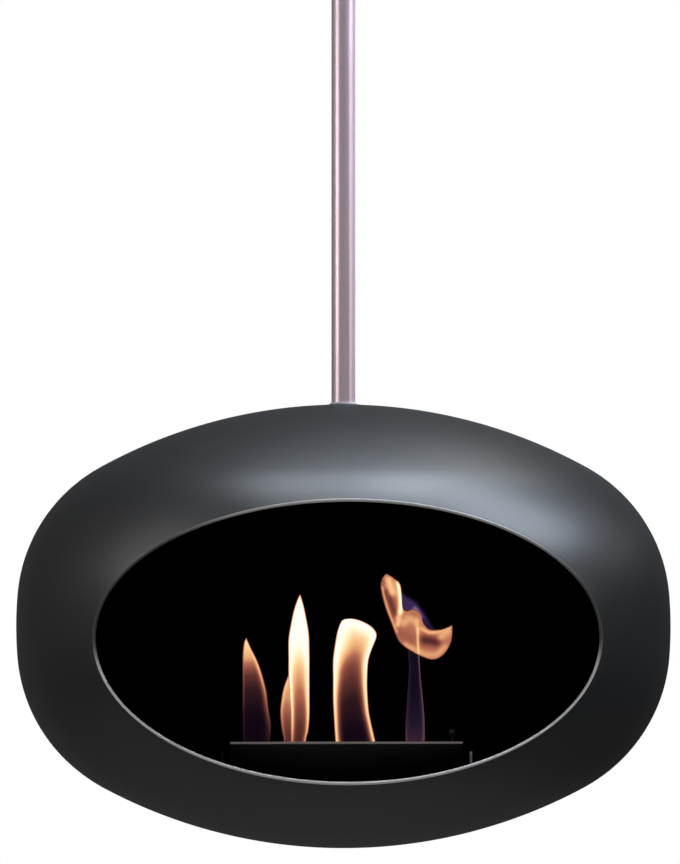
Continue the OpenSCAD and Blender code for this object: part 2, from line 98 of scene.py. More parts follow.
def surface(name, points, wrap_rows=False, wrap_columns=False):
    """Mesh object from points[row, column, xyz]: quad (i, j) joins rows i and i + 1, columns j and j + 1.

    The faces are turned so that the volume they enclose is positive, and the map stores each
    corner's place in the grid as u, across the columns, and v, up the rows, from 0 to 1.
    """
    rows, columns = points.shape[:2]
    i0, i1 = wrapped(rows, wrap_rows)
    j0, j1 = wrapped(columns, wrap_columns)
    quads = np.stack(
        [
            i0[:, None] * columns + j0,
            i0[:, None] * columns + j1,
            i1[:, None] * columns + j1,
            i1[:, None] * columns + j0,
        ],
        axis=-1,
    ).reshape(-1, 4)
    u0, v0 = np.meshgrid(j0 / len(j0), i0 / len(i0))
    step_u, step_v = 1 / len(j0), 1 / len(i0)
    corner_u = np.stack([u0, u0 + step_u, u0 + step_u, u0], axis=-1).reshape(-1, 4)
    corner_v = np.stack([v0, v0, v0 + step_v, v0 + step_v], axis=-1).reshape(-1, 4)
    flat = points.reshape(-1, 3)
    a, b, c, d = (flat[quads[:, k]] for k in range(4))
    volume = np.einsum("ij,ij->", a, np.cross(b, c)) + np.einsum("ij,ij->", a, np.cross(c, d))
    if volume < 0:
        quads, corner_u, corner_v = quads[:, ::-1], corner_u[:, ::-1], corner_v[:, ::-1]
    mesh = bpy.data.meshes.new(name)
    mesh.vertices.add(len(flat))
    mesh.vertices.foreach_set("co", flat.astype(np.float32).ravel())
    mesh.loops.add(quads.size)
    mesh.loops.foreach_set("vertex_index", quads.astype(np.int32).ravel())
    mesh.polygons.add(len(quads))
    mesh.polygons.foreach_set("loop_start", np.arange(0, quads.size, 4, dtype=np.int32))
    mesh.update(calc_edges=True)
    grid_map = mesh.uv_layers.new(name="grid")
    grid_map.data.foreach_set(
        "uv", np.stack([corner_u, corner_v], axis=-1).astype(np.float32).ravel()
    )
    mesh.validate()
    mesh.shade_smooth()
    piece = bpy.data.objects.new(name, mesh)
    bpy.context.scene.collection.objects.link(piece)
    return piece


def turn(name, profile, segments=96):
    """A profile of (radius, height) points turned round the pole's axis, closed on itself."""
    angle = np.linspace(0, 2 * np.pi, segments, endpoint=False)
    r, z = np.asarray(profile, float).T
    points = np.stack(
        [
            r[:, None] * np.cos(angle),
            r[:, None] * np.sin(angle),
            np.repeat(z[:, None], segments, axis=1),
        ],
        axis=-1,
    )
    return surface(name, points, wrap_rows=True, wrap_columns=True)


def arc(centre, radius, start, end, count=8):
    """Points of (radius, height) along an arc, from angle start to angle end in degrees."""
    t = np.radians(np.linspace(start, end, count))
    return [(centre[0] + radius * c, centre[1] + radius * s) for c, s in zip(np.cos(t), np.sin(t))]


# %% [markdown]
# ## The shell
#
# The body is a sheet of steel spun to three arcs: a shallow one over the crown, a tight one round the
# shoulder and an upright one at the belly. A spun sheet has two openings, the mouth in front and the
# small hole in the crown for the swivel. A sheet with two openings is a stretched ring, so one grid
# can cover it all: its rows run from the edge of the mouth to the edge of the hole, and its columns
# run round the mouth. A Moebius map bends that ring over the ball without pinching it anywhere.


# %% The spun outline
def outline_arcs():
    """Centre height of the crown arc, centre of the shoulder arc, centre radius of the belly arc."""
    crown_cz = body_h / 2 - crown_r
    belly_cx = body_w / 2 - belly_r
    gap = math.hypot(belly_cx, crown_cz)
    to_crown, to_belly = crown_r - shoulder_r, belly_r - shoulder_r
    along = (to_crown**2 - to_belly**2 + gap**2) / (2 * gap)
    aside = math.sqrt(to_crown**2 - along**2)
    line_x, line_z = belly_cx / gap, -crown_cz / gap
    shoulder_cx = along * line_x + aside * line_z
    shoulder_cz = crown_cz + along * line_z - aside * line_x
    return crown_cz, (shoulder_cx, shoulder_cz), belly_cx


crown_cz, (shoulder_cx, shoulder_cz), belly_cx = outline_arcs()
crown_join_z = crown_cz + crown_r * (shoulder_cz - crown_cz) / (crown_r - shoulder_r)
belly_join_z = belly_r * shoulder_cz / (belly_r - shoulder_r)
crown_join_r = crown_r * shoulder_cx / (crown_r - shoulder_r)
belly_join_r = belly_cx + belly_r * (shoulder_cx - belly_cx) / (belly_r - shoulder_r)
print(f"arcs meet at r {belly_join_r:.3f} and {crown_join_r:.3f} m")


def width_at(z):
    """Radius of the outline at height z over the body's middle, from the circle that holds z."""
    h = np.abs(z)
    crown = np.sqrt(np.maximum(crown_r**2 - (h - crown_cz) ** 2, 0))
    shoulder = shoulder_cx + np.sqrt(np.maximum(shoulder_r**2 - (h - shoulder_cz) ** 2, 0))
    belly = belly_cx + np.sqrt(belly_r**2 - h**2)
    return np.where(h > crown_join_z, crown, np.where(h > belly_join_z, shoulder, belly))


def skin(direction):
    """Point of the outer skin along each direction from the body's middle, and the normal there.

    In the half plane of the axis the direction is a ray at angle f, and it meets the circle with
    centre c and radius R at the distance c.d + sqrt((c.d)^2 - c.c + R^2).
    """
    flat = np.hypot(direction[..., 0], direction[..., 1])
    f = np.arctan2(np.abs(direction[..., 2]), flat)
    at_crown = f > math.atan2(crown_join_z, crown_join_r)
    at_shoulder = f > math.atan2(belly_join_z, belly_join_r)
    cx = np.where(at_crown, 0, np.where(at_shoulder, shoulder_cx, belly_cx))
    cz = np.where(at_crown, crown_cz, np.where(at_shoulder, shoulder_cz, 0))
    radius = np.where(at_crown, crown_r, np.where(at_shoulder, shoulder_r, belly_r))
    ahead = cx * np.cos(f) + cz * np.sin(f)
    reach = ahead + np.sqrt(ahead**2 - cx**2 - cz**2 + radius**2)
    side = np.sign(direction[..., 2])
    turn_x, turn_y = direction[..., 0] / flat, direction[..., 1] / flat
    r, z = reach * np.cos(f), reach * np.sin(f)
    n_r, n_z = (r - cx) / radius, (z - cz) / radius
    point = np.stack([r * turn_x, r * turn_y, z * side], axis=-1)
    normal = np.stack([n_r * turn_x, n_r * turn_y, n_z * side], axis=-1)
    return point, normal


# %% [markdown]
# The grid is worked out on a flat map of the ball, seen through a stereographic projection along the
# pole of the mouth: a point of the map is one complex number. There the hole in the crown is a circle,
# and the mouth nearly one. The Moebius map (w - p) / (w - q) turns both into circles round 0, between
# which straight spokes and round rows are easy to draw. The way back bends them over the ball.


# %% The grid from the mouth to the crown
def to_map(direction):
    """Stereographic projection of a direction, with the middle of the mouth, -Y, at 0."""
    unit = direction / np.linalg.norm(direction, axis=-1, keepdims=True)
    return (unit[..., 0] + 1j * unit[..., 2]) / (1 - unit[..., 1])


def from_map(w):
    """Direction of a point w on the map: the projection turned round."""
    size = np.abs(w) ** 2
    return np.stack([2 * w.real, size - 1, 2 * w.imag], axis=-1) / (1 + size)[..., None]


def shell_grid(columns=400, rows=104):
    """Directions from the mouth's edge, row 0, to the edge of the hole in the crown, the last row."""
    t = np.linspace(0, 2 * np.pi, columns, endpoint=False)
    x, z = mouth_w / 2 * np.cos(t), mouth_h / 2 * np.sin(t)
    mouth = to_map(np.stack([x, -np.sqrt(width_at(z) ** 2 - x**2), z], axis=-1))
    hole_angle = math.atan2(boss_r, math.sqrt(crown_r**2 - boss_r**2) + crown_cz)
    low = math.tan((math.pi / 2 - hole_angle) / 2)
    high = math.tan((math.pi / 2 + hole_angle) / 2)
    centre, radius = (low + high) / 2, (high - low) / 2
    mouth_size = np.exp(np.mean(np.log(np.abs(mouth))))
    total = (mouth_size**2 + centre**2 - radius**2) / centre
    root = math.sqrt(total**2 - 4 * mouth_size**2)
    p, q = 1j * (total - root) / 2, 1j * (total + root) / 2
    start = np.log((mouth - p) / (mouth - q))
    start = start.real + 1j * np.unwrap(start.imag)
    hole_size = abs((1j * high - p) / (1j * high - q))
    end = math.log(hole_size) + 1j * start.imag
    v = np.linspace(0, 1, rows)[:, None]
    ring = np.exp(start * (1 - v) + end * v)
    return from_map((p - q * ring) / (1 - ring))


directions = shell_grid()
outer, normal = skin(directions)
print("shell grid", outer.shape, "lowest point", round(float(outer[..., 2].min()), 5))

# %% [markdown]
# The sheet's two faces are the outer skin and the same grid moved in along the normals by the sheet's
# thickness. The mouth is cut square to the sheet, so its edge runs straight from one face to the
# other. Its outer arris is dressed to a wide round, and the inner one is only eased. Outer skin, cut,
# inner skin and the edge of the crown's hole close the grid into one ring, so the shell is watertight.


# %% The shell
outer_arris, inner_arris = 0.0015, 0.0005
arris_rows = 7


def shell():
    """Rows: outer skin from hole to mouth, the rounded cut, inner skin from mouth to hole."""
    middle = np.array([0, 0, body_z])
    inward = outer[0] - sheet * normal[0]
    across = outer[1] - outer[0]
    across -= np.sum(across * normal[0], axis=-1, keepdims=True) * normal[0]
    across /= np.linalg.norm(across, axis=-1, keepdims=True)
    cut = []
    for corner, sense, arris in ((outer[0], -1, outer_arris), (inward, 1, inner_arris)):
        angles = np.radians(np.linspace(0, 90, arris_rows))
        if sense > 0:
            angles = angles[::-1]
        for a in angles:
            back_from_mouth = arris * (1 - math.sin(a)) * across
            into_sheet = sense * arris * (1 - math.cos(a)) * normal[0]
            cut.append(corner + back_from_mouth + into_sheet)
    rows = np.concatenate([outer[:0:-1], np.array(cut), (outer - sheet * normal)[1:]])
    piece = surface("shell", rows + middle, wrap_rows=True, wrap_columns=True)
    faces_round = outer.shape[1]
    face_row = np.arange(len(piece.data.polygons)) // faces_round
    skin_rows = len(outer) - 1
    # The finishes in order: 0 the outer skin, 1 the cut, 2 the inner skin.
    part = np.where(face_row < skin_rows, 0, np.where(face_row < skin_rows + len(cut) - 1, 1, 2))
    piece.data.polygons.foreach_set("material_index", part.astype(np.int32))
    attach(piece, "fire_bowl")
    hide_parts("shell_upper", "shell_lower")
    return piece


shell_piece = shell()
print("shell triangles", 2 * len(shell_piece.data.polygons))

# %% [markdown]
# ## The pole and the ceiling canopy
#
# The pole and the canopy are turned parts with thin walls and eased edges, so each is a closed profile
# turned round the axis. A small chamfer on every edge catches a line of light, as on the real tube.

# %% Pole, canopy, collar and washer
pole_low, pole_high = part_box("pole")
canopy_low, canopy_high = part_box("canopy")
collar_low, collar_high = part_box("canopy_collar")
washer_low, washer_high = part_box("top_washer")
pole_r = pole_high.x
pole_wall, pole_ease = 0.002, 0.0003
canopy_corner, canopy_wall, canopy_gap = 0.012, 0.0012, 0.0003
collar_gap, collar_ease = 0.0001, 0.0008
washer_hole_r, washer_ease = 0.0061, 0.0002


def tube_profile(outer_r, inner_r, low, high, edge):
    """Section of a tube's wall with a chamfer on its four edges."""
    return [
        (inner_r, low + edge), (inner_r + edge, low),
        (outer_r - edge, low), (outer_r, low + edge),
        (outer_r, high - edge), (outer_r - edge, high),
        (inner_r + edge, high), (inner_r, high - edge),
    ]


def canopy_profile():
    """Section of the cup: floor with the pole's hole, rounded foot, wall, open top."""
    r, low, top = canopy_high.x, canopy_low.z, canopy_high.z
    corner, wall, hole = canopy_corner, canopy_wall, pole_r + canopy_gap
    centre = (r - corner, low + corner)
    outside = [(hole, low), *arc(centre, corner, -90, 0), (r, top)]
    inside = [(r - wall, top), *arc(centre, corner - wall, 0, -90), (hole, low + wall)]
    return outside + inside


def turned_pieces():
    """Makes each turned part, which stands for one packed node, and gives them all by name."""
    pole = tube_profile(pole_r, pole_r - pole_wall, pole_low.z, pole_high.z, pole_ease)
    collar = tube_profile(
        collar_high.x, pole_r + collar_gap, collar_low.z, collar_high.z, collar_ease
    )
    washer = tube_profile(washer_high.x, washer_hole_r, washer_low.z, washer_high.z, washer_ease)
    made = {}
    for name, profile, node, slot in (
        ("pole_tube", pole, "pole", "brushed_stainless"),
        ("canopy_cup", canopy_profile(), "canopy", "brushed_stainless"),
        ("collar_ring", collar, "canopy_collar", "brushed_stainless"),
        ("slip_washer", washer, "top_washer", "slip_washer"),
    ):
        piece = turn(name, profile)
        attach(piece, "ceiling_pole")
        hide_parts(node)
        piece.data.set_sharp_from_angle(angle=math.radians(30))
        made[name] = piece
    return made


turned = turned_pieces()
# The pole mirrored in the crown would draw two streaks that the photograph doesn't show.
turned["pole_tube"].visible_glossy = False
print("turned:", ", ".join(turned))

# %% [markdown]
# ## Shader maths
#
# A finish is a tree of nodes. Written out node by node it hides the idea, so a small class wraps an
# output socket and lets plain sums stand for Math nodes: 1 - mask, or grain * 0.2 + 0.4. Colours would
# turn grey in a Math node, so they have a method of their own.


# %% A value that can be reckoned with
class Value:
    """One output socket of a tree, which can be added, taken away, multiplied and raised."""

    def __init__(self, nodes, socket):
        self.nodes, self.socket = nodes, socket

    def maths(self, operation, *terms):
        return self.nodes.node("ShaderNodeMath", {"operation": operation}, dict(enumerate(terms)))

    def __add__(self, other):
        return self.maths("ADD", self, other)

    def __sub__(self, other):
        return self.maths("SUBTRACT", self, other)

    def __rsub__(self, other):
        return self.maths("SUBTRACT", other, self)

    def __mul__(self, other):
        return self.maths("MULTIPLY", self, other)

    def __pow__(self, other):
        return self.maths("POWER", self, other)

    __radd__ = __add__
    __rmul__ = __mul__

    def fade(self, start, end):
        """0 below start, 1 past end, smooth between."""
        sockets = {"Value": self, "From Min": start, "From Max": end}
        settings = {"interpolation_type": "SMOOTHSTEP"}
        return self.nodes.node("ShaderNodeMapRange", settings, sockets)


print("sums:", [name for name in vars(Value) if name.startswith("__r")], "work with a number first")


# %% A tree of nodes
class Nodes:
    """The nodes of a finish or of the background, cleared to start with."""

    def __init__(self, tree):
        self.tree = tree
        self.tree.nodes.clear()

    def link(self, socket, value):
        """Links a Value to a socket, or writes a number or a colour on it."""
        if isinstance(value, Value):
            self.tree.links.new(value.socket, socket)
        elif isinstance(value, (tuple, list)) and len(socket.default_value) == 4 and len(value) == 3:
            socket.default_value = (*value, 1)
        else:
            socket.default_value = value

    def node(self, kind, settings, sockets, out=0):
        """Any node: its settings first, then what goes into its sockets, by name or number."""
        made = self.tree.nodes.new(kind)
        for key, value in settings.items():
            if key == "stops":
                self.stops(made.color_ramp, value)
            else:
                setattr(made, key, value)
        for key, value in sockets.items():
            self.link(made.inputs[key], value)
        return Value(self, made.outputs[out])

    @staticmethod
    def stops(ramp, stops):
        """Puts (place, colour) stops on a ramp, which starts with one at each end."""
        ramp.elements[0].color = (*stops[0][1], 1)
        ramp.elements[1].color = (*stops[-1][1], 1)
        for place, colour in stops[1:-1]:
            ramp.elements.new(place).color = (*colour, 1)

    def outputs(self, value, keys):
        """Several outputs of the node that value comes from."""
        return [Value(self, value.socket.node.outputs[key]) for key in keys]

    def split(self, vector):
        """A vector's x, y and z as three values."""
        return self.outputs(self.node("ShaderNodeSeparateXYZ", {}, {0: vector}), range(3))

    def rays(self):
        """Three values: 1 for rays from the camera, off a mirror and through glass, and 0 for others."""
        path = self.node("ShaderNodeLightPath", {}, {})
        return self.outputs(path, ("Is Camera Ray", "Is Glossy Ray", "Is Transmission Ray"))


# %% A finish
class Finish(Nodes):
    """A material with one Principled shader, built up from nodes."""

    def __init__(self, name, **constants):
        self.material = bpy.data.materials.new(name)
        self.material.use_nodes = True
        super().__init__(self.material.node_tree)
        self.output = self.tree.nodes.new("ShaderNodeOutputMaterial")
        self.shader = self.node("ShaderNodeBsdfPrincipled", {}, {})
        self.set(**constants)
        self.link(self.output.inputs["Surface"], self.shader)

    def set(self, **values):
        """Gives the Principled shader's sockets their values; underscores stand for spaces."""
        for key, value in values.items():
            self.link(self.shader.socket.node.inputs[key.replace("_", " ")], value)
        return self.material

    def place(self):
        """The point of the surface in metres, in the model's own frame."""
        return self.node("ShaderNodeTexCoord", {}, {}, out="Object")

    def axes(self):
        """The point's x, y and z as three values."""
        return self.split(self.place())

    def stretched(self, scale):
        """The point, scaled by a different amount along each axis."""
        return self.node("ShaderNodeMapping", {}, {"Vector": self.place(), "Scale": scale})

    def noise(self, scale, detail=2.0, vector=None):
        """Noise from 0 to 1 with about scale blobs in a metre."""
        sockets = {"Vector": vector or self.place(), "Scale": scale, "Detail": detail}
        return self.node("ShaderNodeTexNoise", {}, sockets)

    def mix(self, factor, first, second):
        """Colour between first, at factor 0, and second, at factor 1."""
        sockets = {"Factor": factor, 6: first, 7: second}
        return self.node("ShaderNodeMix", {"data_type": "RGBA"}, sockets, out=2)

    def bump(self, height, depth, strength=1.0):
        """Normal of a surface whose height varies by depth metres."""
        sockets = {"Height": height, "Distance": depth, "Strength": strength}
        return self.node("ShaderNodeBump", {}, sockets)


print("finish tools ready")

# %% [markdown]
# ## Black powder coat
#
# Powder coat is sprayed on dry and baked, so it has a fine orange-peel grain and a satin sheen. The
# grain is a bump of about a millimetre, with a finer speckle in it. The colour hardly varies: a black
# coat looks grey only where it mirrors a lamp, so the roughness does most of the work.
#
# The cut round the mouth is bright in the photograph along its foot and at the upper right, and dark
# at both ends, as the light falls on it. That light and shade is painted into the edge: it is drawn as
# bare steel where it is lit and as coated where it is shaded, which is a guess at its real finish.
# Inside, the bowl has a matte black that stands heat, made darker than any paint as painted shade.


# %% Powder coat, cut edge with painted light and shade, soot with painted shade
def powder_coat():
    """Satin black with a millimetre grain."""
    coat = Finish("black_powder_coat", Metallic=0.0, Specular_IOR_Level=0.8)
    peel = coat.noise(900, detail=3.0)
    speckle = coat.noise(2600, detail=1.0)
    cloud = coat.noise(14, detail=2.0)
    return coat.set(
        Base_Color=coat.mix(cloud, (0.0115, 0.0118, 0.0125), (0.015, 0.0153, 0.016)),
        Roughness=0.31 + 0.1 * speckle + 0.04 * cloud,
        Normal=coat.bump(peel * 0.7 + speckle * 0.3, 0.00016, 0.6),
    )


def cut_edge():
    """The edge round the mouth, painted as lit bare steel along the foot and the upper right, and as
    shaded coat elsewhere.
    """
    edge = Finish("sheet_edge_painted_light")
    x, _, z = edge.axes()
    # Painted light and shade: the edge is bare steel where light falls on it and coated where it is in
    # shade.
    lit_foot_share = (body_z - z).fade(0.0, 0.03)
    lit_top_share = (z - body_z).fade(0.04, 0.1) * x.fade(-0.16, -0.06)
    least = 0.15
    bare = least + (1 - least) * (lit_foot_share + lit_top_share)
    marks = edge.noise(1500, detail=2.0)
    steel = edge.mix(marks, (0.9, 0.88, 0.86), (1.0, 0.98, 0.95))
    return edge.set(
        Base_Color=edge.mix(bare, (0.013, 0.013, 0.014), steel),
        Metallic=0.85 * bare,
        Roughness=0.34 + 0.16 * marks,
        Normal=edge.bump(marks, 0.00002, 0.4),
    )


def dusty_shaded_paint(black):
    """Colour of the heat-proof paint, darkened past any real paint as painted shade inside the bowl, and
    the dust that makes it uneven.
    """
    dust = black.noise(60, detail=4.0)
    # Black paint with dust, made far darker than paint: painted shade inside the bowl.
    return black.mix(dust, (0.0008, 0.0008, 0.0009), (0.002, 0.0018, 0.0017)), dust


def soot_and_shade():
    """Heat-proof matte black inside the bowl, darker than any paint: painted shade."""
    black = Finish("black_heat_paint", Metallic=0.0, Specular_IOR_Level=0.04)
    paint, dust = dusty_shaded_paint(black)
    return black.set(
        Base_Color=paint,
        Roughness=0.85 + 0.1 * dust,
        Normal=black.bump(black.noise(700), 0.00005, 0.4),
    )


coat_finish, edge_finish, soot_and_shade_finish = powder_coat(), cut_edge(), soot_and_shade()
for finish in (coat_finish, edge_finish, soot_and_shade_finish):
    shell_piece.data.materials.append(finish)
print("shell finishes:", [m.name for m in shell_piece.data.materials])

# %% [markdown]
# ## Brushed stainless
#
# The pole was ground along its length, which leaves hair-fine lines that run up the tube. Noise that
# is stretched a hundredfold along Z draws them. The lines change both how much the metal scatters and
# which way it faces, so they drive roughness and bump.
#
# The pole's colour is pinker and brighter than stainless steel. It was matched to the photograph under
# this scene's lamps, which are bluish and leave the pole dim, so under white light it looks pink.


# %% Metals
def brushed(name, low, high, rough, stretch=(1.0, 1.0, 0.01), **constants):
    """Ground metal with lines along the axis that stretch squeezes least."""
    metal = Finish(name, **{"Metallic": 1.0, **constants})
    lines = metal.noise(2400, detail=3.0, vector=metal.stretched(stretch))
    haze = metal.noise(9, detail=2.0)
    return metal.set(
        Base_Color=metal.mix(lines * 0.6 + haze * 0.4, low, high),
        Roughness=rough + 0.12 * lines + 0.04 * haze,
        Normal=metal.bump(lines, 0.00001, 0.5),
    )


def cast(name, low, high, rough, metallic=1.0, grain=500, depth=0.00004):
    """Metal or plastic with an even fine grain."""
    solid = Finish(name, Metallic=metallic)
    spots = solid.noise(grain, detail=3.0)
    return solid.set(
        Base_Color=solid.mix(spots, low, high),
        Roughness=rough + 0.15 * spots,
        Normal=solid.bump(spots, depth, 0.5),
    )


finishes = {
    "brushed_stainless": brushed(
        "brushed_stainless", (0.93, 0.7, 0.77), (1.0, 0.79, 0.87), 0.28,
        Metallic=0.7, Sheen_Weight=1.0, Sheen_Roughness=0.35, Sheen_Tint=(1.0, 0.86, 0.93),
    ),
    "burner_stainless": brushed(
        "burner_stainless", (0.34, 0.32, 0.31), (0.5, 0.48, 0.46), 0.3, stretch=(0.01, 1.0, 1.0)
    ),
    "zinc_steel": cast("zinc_steel", (0.28, 0.29, 0.31), (0.4, 0.41, 0.43), 0.5),
    "bearing_steel": cast("bearing_steel", (0.62, 0.63, 0.65), (0.72, 0.73, 0.75), 0.08, depth=0.000005),
    "cage_brass": cast("cage_brass", (0.66, 0.46, 0.19), (0.8, 0.6, 0.3), 0.25),
    "bronze": cast("bronze", (0.5, 0.3, 0.15), (0.64, 0.42, 0.24), 0.35),
    "slip_washer": cast("slip_washer", (0.82, 0.77, 0.79), (0.9, 0.86, 0.88), 0.4, metallic=0.0),
    "ceramic_wool": cast("ceramic_wool", (0.62, 0.58, 0.5), (0.8, 0.77, 0.7), 0.85, 0.0, 900, 0.0004),
    "dark_screw": cast("dark_screw", (0.03, 0.03, 0.033), (0.07, 0.07, 0.075), 0.45),
    "dark_knob": cast("dark_knob", (0.012, 0.012, 0.013), (0.03, 0.03, 0.032), 0.3, metallic=0.0),
    "black_powder_coat": coat_finish,
    "black_heat_paint": soot_and_shade_finish,
}
print("finishes:", len(finishes))

# %% [markdown]
# ## The burner's front plate
#
# The plate in front of the burner is glossy black enamel. Its top edge was left bare, and it draws a
# bright line under the flames. Just below that line a dull brown glow of the flames is painted into the
# enamel, a painted reflection.

# %% The front plate
plate_low, plate_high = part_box("fascia")
strip_foot, strip_full, flame_glow_foot = 0.002, 0.0016, 0.012


def front_plate():
    """Gloss black, bare along the top edge, with the flames' glow painted under it as a brown reflection.
    """
    plate = Finish("black_gloss_plate")
    _, _, z = plate.axes()
    top = plate_high.z
    bare = z.fade(top - strip_foot, top - strip_full)
    # Painted reflection: a brown glow of the flames just under the bare top edge.
    flame_glow = z.fade(top - flame_glow_foot, top - strip_foot) * (1 - bare)
    cloud = plate.noise(45, detail=3.0)
    enamel_with_glow = plate.mix(flame_glow * cloud, (0.004, 0.004, 0.004), (0.02, 0.009, 0.006))
    return plate.set(
        Base_Color=plate.mix(bare, enamel_with_glow, (0.85, 0.79, 0.77)),
        Metallic=bare,
        Roughness=0.12 + 0.1 * cloud + 0.25 * bare,
        Normal=plate.bump(plate.noise(300), 0.00001, 0.3),
    )


finishes["black_gloss_plate"] = front_plate()
print("plate", round(plate_high.z - plate_low.z, 4), "m high")

# %% [markdown]
# The burner sits in a cradle, and the front edges of its two cheeks show beside the plate. They were
# cut after the sheet was painted, so they are bare steel. Their colours carry painted light: the right
# edge is a painted highlight that draws a short bright line, and the left one is painted shade.


# %% The cradle's cheeks
def cheek(name, steel):
    """Heat-proof black with a bare front edge of colour steel, for one side of the cradle; steel paints
    that edge's light and shade.
    """
    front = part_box(name)[0].y
    black = Finish(name + "_finish", Specular_IOR_Level=0.04)
    _, y, _ = black.axes()
    bare = 1 - y.fade(front + 0.0002, front + 0.0005)
    paint, dust = dusty_shaded_paint(black)
    return black.set(
        # The bare edge's colour is painted light: bright for a painted highlight, dark for painted shade.
        Base_Color=black.mix(bare, paint, steel),
        Metallic=0.2 * bare,
        Roughness=0.85 + 0.1 * dust - 0.45 * bare,
    )


# Painted light on the bare edges: dark steel on the left is painted shade, near-white steel on the right
# a painted highlight.
cheeks = {
    "cradle_left": cheek("cradle_left", (0.05, 0.05, 0.052)),
    "cradle_right": cheek("cradle_right", (0.88, 0.88, 0.9)),
}


# %% Every packed part gets its finish
def dress_nodes():
    """Puts the finish of each record slot on the packed nodes that use it."""
    for row in frame["record"]["subparts"]:
        node = frame["nodes"][row["node"]]
        node.data.materials.clear()
        node.data.materials.append(cheeks.get(row["node"]) or finishes[row["material_slot"]])


dress_nodes()
for name, piece in turned.items():
    slot = "slip_washer" if name == "slip_washer" else "brushed_stainless"
    piece.data.materials.append(finishes[slot])

# %% [markdown]
# ## Flames
#
# A spirit flame is a hollow tongue of hot gas. Its skin glows, so it is brightest along its edges and
# at its tip, where the line of sight runs along the skin, and dark purple low down in the middle. Each
# tongue here is a closed lens between two smooth curves, its left and its right edge. How hot it is at
# each point is worked out with numpy from the place across and up the tongue, and stored on the mesh.
# At its very edge every tongue is cooler, so that its outline looks soft.

# %% Curves through a few points
slot_y = -0.112
foot = (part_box("fibre_mesh")[1].z - body_z) * 1000


def through(points, count):
    """Smooth curve through a few points: a Catmull-Rom spline, cut into steps of equal length."""
    p = np.asarray(points, float)
    p = np.concatenate([2 * p[:1] - p[1:2], p, 2 * p[-1:] - p[-2:-1]])
    t = np.linspace(0, len(p) - 3 - 1e-9, 40 * len(p))
    k = t.astype(int)
    s = (t - k)[:, None]
    a, b, c, d = p[k], p[k + 1], p[k + 2], p[k + 3]
    straight = 2 * b + (c - a) * s
    bend = (2 * a - 5 * b + 4 * c - d) * s**2
    twist = (3 * b - a - 3 * c + d) * s**3
    curve = 0.5 * (straight + bend + twist)
    length = np.concatenate([[0], np.cumsum(np.linalg.norm(np.diff(curve, axis=0), axis=1))])
    even = np.linspace(0, length[-1], count)
    return np.stack([np.interp(even, length, curve[:, axis]) for axis in (0, 1)], axis=-1)


print(f"slot at y {slot_y} m, flames' feet {foot:.1f} mm from the body's middle")


# %% A tongue of gas
thickness = 0.45
weld_distance = 1e-5


def tongue(name, left, right, heat, depth=slot_y, rows=120, around=64, soft=0.45, fade=0.7):
    """Closed lens between two edges, given in millimetres from the body's middle, from foot to tip.

    Across is cos(t) from the left edge, -1, to the right edge, 1. The depth follows sin(t) times
    thickness times the half width, so every cross section is a flat ellipse. heat(across, up, spot)
    gives 0, cold, to 1, white, where spot is the place in millimetres. At the very edge the heat drops
    by the share soft, and comes back over fade millimetres.
    """
    left_edge, right_edge = through(left, rows), through(right, rows)
    t = np.linspace(0, 2 * np.pi, around, endpoint=False)
    middle, half = (left_edge + right_edge) / 2, (right_edge - left_edge) / 2
    flat = middle[:, None] + half[:, None] * np.cos(t)[None, :, None]
    half_width = np.linalg.norm(half, axis=-1)[:, None]
    bulge = thickness * half_width * np.sin(t)
    place = [flat[..., 0], 1000 * depth + bulge, flat[..., 1] + 1000 * body_z]
    points = np.stack(place, axis=-1) / 1000
    piece = surface(name, points, wrap_columns=True)
    across = np.broadcast_to(np.cos(t), points.shape[:2])
    up = np.broadcast_to(np.linspace(0, 1, rows)[:, None], points.shape[:2])
    inside = (1 - np.abs(across)) * half_width
    level = heat(across, up, flat) * (1 - soft * np.exp(-((inside / fade) ** 2)))
    glow = piece.data.attributes.new("gas_heat", "FLOAT", "POINT")
    glow.data.foreach_set("value", np.clip(level, 0, 1).astype(np.float32).ravel())
    work = bmesh.new()
    work.from_mesh(piece.data)
    bmesh.ops.remove_doubles(work, verts=work.verts, dist=weld_distance)
    bmesh.ops.holes_fill(work, edges=work.edges, sides=around)
    work.to_mesh(piece.data)
    work.free()
    piece.data.shade_smooth()
    return piece


# %% How heat is spread over a tongue
def rimmed(core, edge, width):
    """Heat that is core(up) in the middle and edge(up) at both edges, blended over width(up)."""

    def heat(across, up, spot):
        near = np.exp(-(((1 - np.abs(across)) / width(up)) ** 2))
        return core(up) + (edge(up) - core(up)) * near

    return heat


def sided(fill, right, left, right_width, left_width):
    """Heat that is fill(up) inside, right(up) at the right edge and left(up) at the left one."""

    def heat(across, up, spot):
        level = fill(up) + (right(up) - fill(up)) * np.exp(-(((1 - across) / right_width) ** 2))
        return level + (left(up) - fill(up)) * np.exp(-(((1 + across) / left_width) ** 2))

    return heat


def along(places, values):
    """Value that follows straight steps between a few places up the tongue."""
    return lambda up: np.interp(up, places, values)


def stroked(base, strokes):
    """Heat that is base, drawn over with soft strokes (points, width, heat) in millimetres."""

    def heat(across, up, spot):
        level = np.full(across.shape, float(base))
        for points, width, wanted in strokes:
            line = through(points, 60)
            gap = np.linalg.norm(spot[..., None, :] - line, axis=-1).min(axis=-1)
            level = level + (wanted - level) * np.exp(-((gap / width) ** 2))
        return level

    return heat


print("heat half way up, from 0 at the foot to 1 at the tip:", float(along([0, 1], [0, 1])(0.5)))

# %% [markdown]
# Heat becomes colour through a ramp, from a faint purple veil through brick and orange to white. The
# thin stem of the right-hand flame burns cooler, and so does the veil of unburnt vapour behind its
# head, so they have bluer ramps of their own. Cool gas is also more see-through, so the same heat
# drives the alpha.

